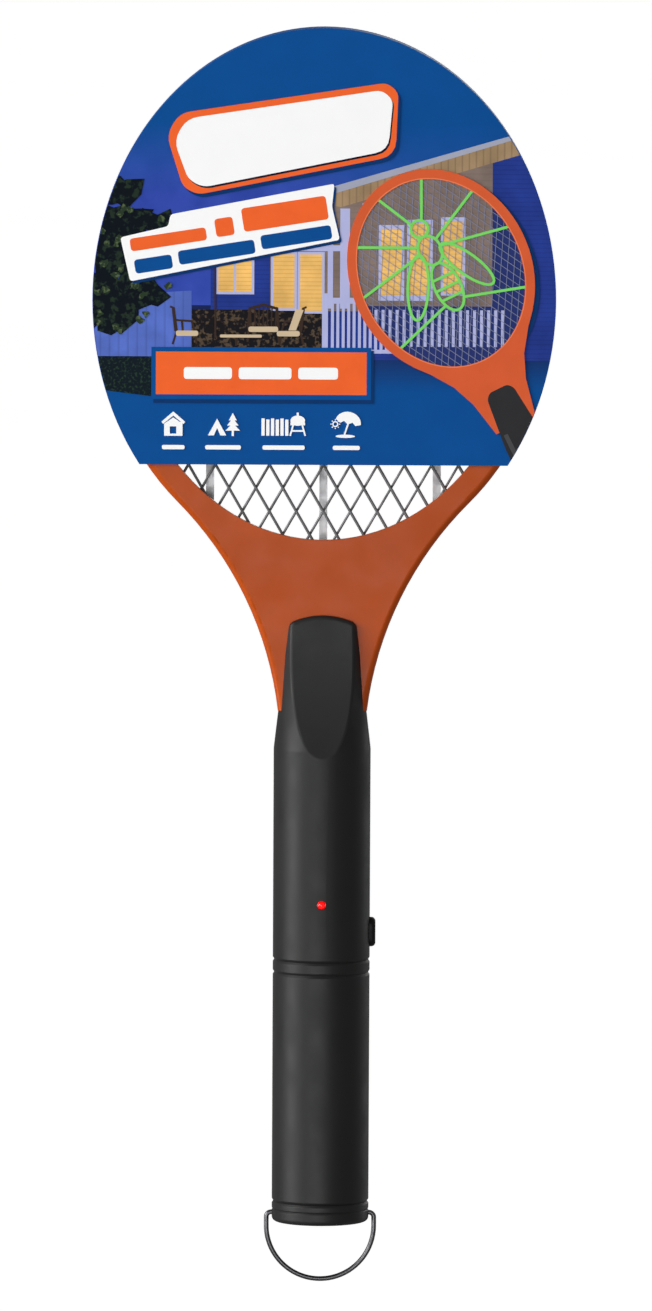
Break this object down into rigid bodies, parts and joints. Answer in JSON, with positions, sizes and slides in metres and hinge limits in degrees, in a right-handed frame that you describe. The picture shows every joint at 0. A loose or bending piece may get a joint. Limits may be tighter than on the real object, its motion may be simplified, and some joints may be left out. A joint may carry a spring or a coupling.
{
  "type": "electric fly swatter",
  "caption": "Battery fly swatter: oval racket head with layered metal meshes, round black handle with side button and lamp, screwed tail cap, wire bail, and a cardboard display sleeve.",
  "frame": {"origin": "on the handle's axis, in the middle of the ridge band half way down the handle, where a hand holds it", "axes": "+Z along the handle to the head, +X the side of the push button, -Y the front with the lamp"},
  "size_m": [0.1714, 0.0369, 0.4669],
  "materials": {
    "frame_orange": "moulded satin orange plastic",
    "handle_black": "fine matt black plastic",
    "mesh_metal": "dull grey wire",
    "electrode_metal": "light grey metal strip",
    "spacer_white": "natural white plastic",
    "glow_green": "glow-in-the-dark green plastic",
    "screw_steel": "zinc-plated steel",
    "spring_steel": "nickel-plated steel",
    "bail_steel": "polished wire",
    "button_black": "smooth black plastic",
    "lamp_red": "tinted clear red",
    "board_green": "solder-masked laminate",
    "ferrite": "sintered ferrite",
    "winding_tape": "taped copper winding",
    "film_capacitor": "dipped epoxy",
    "disc_capacitor": "dipped ceramic",
    "diode_black": "moulded epoxy",
    "resistor_tan": "lacquered",
    "transistor_black": "moulded epoxy",
    "switch_grey": "moulded",
    "cell_wrap": "plain printed foil",
    "contact_brass": "bright strip",
    "lead_red": "flexible insulation",
    "lead_white": "flexible insulation",
    "lead_black": "flexible insulation",
    "card_blue": "glossy printed card"
  },
  "bodies": {
    "racket": {"head_frame_front": "frame_orange", "head_frame_rear": "frame_orange", "frame_screws": "screw_steel", "front_mesh": "mesh_metal", "rear_mesh": "mesh_metal", "centre_electrode": "electrode_metal", "mesh_spacer_front": "spacer_white", "mesh_spacer_rear": "spacer_white", "glow_insert": "glow_green", "handle_front": "handle_black", "handle_rear": "handle_black", "handle_screws": "screw_steel", "battery_tube": "handle_black", "battery_right": "cell_wrap", "battery_left": "cell_wrap", "contact_carrier": "spacer_white", "contact_positive": "contact_brass", "contact_negative": "contact_brass", "contact_spring": "spring_steel", "circuit_board": "board_green", "board_screws": "screw_steel", "transformer_core": "ferrite", "transformer_winding": "winding_tape", "hv_capacitor": "film_capacitor", "multiplier_capacitors": "disc_capacitor", "rectifier_diodes": "diode_black", "resistors": "resistor_tan", "drive_transistor": "transistor_black", "indicator_lamp": "lamp_red", "lamp_leads": "spring_steel", "switch_body": "switch_grey", "centre_lead": "lead_red", "front_mesh_lead": "lead_white", "rear_mesh_lead": "lead_white", "cell_lead_positive": "lead_red", "cell_lead_negative": "lead_black"},
    "button": {"push_button": "button_black", "switch_plunger": "spacer_white"},
    "bridge": {"bridge_disc": "contact_brass", "bridge_springs": "spring_steel"},
    "cap": {"tail_cap": "handle_black", "bridge_rivet": "contact_brass"},
    "bail": {"hanging_bail": "bail_steel"},
    "card": {"display_card_front": "card_blue", "display_card_rear": "card_blue", "display_card_rim": "card_blue"}
  },
  "joints": [
    {"name": "button_press", "type": "slide", "parent": "racket", "child": "button", "axis": [-1, 0, 0], "range_m": [0, 0.0012], "stiffness_N_per_m": 1000, "springref_m": -0.0006},
    {"name": "bridge_travel", "type": "slide", "parent": "racket", "child": "bridge", "axis": [0, 0, -1], "range_m": [0, 0.00901]},
    {"name": "cap_unscrew", "type": "hinge", "parent": "bridge", "child": "cap", "pos_m": [0, 0, -0.088], "axis": [0, 0, -1], "range_deg": [0, 1080]},
    {"name": "bail_swing", "type": "hinge", "parent": "cap", "child": "bail", "pos_m": [0, 0, -0.0925], "axis": [1, 0, 0], "range_deg": [-125, 125]},
    {"name": "card_lift", "type": "slide", "parent": "racket", "child": "card", "axis": [0, 0, 1], "range_m": [0, 0.18]}
  ],
  "couplings": [
    {"joint": "bridge_travel", "follows": "cap_unscrew", "m_per_rad": 0.00047746}
  ]
}
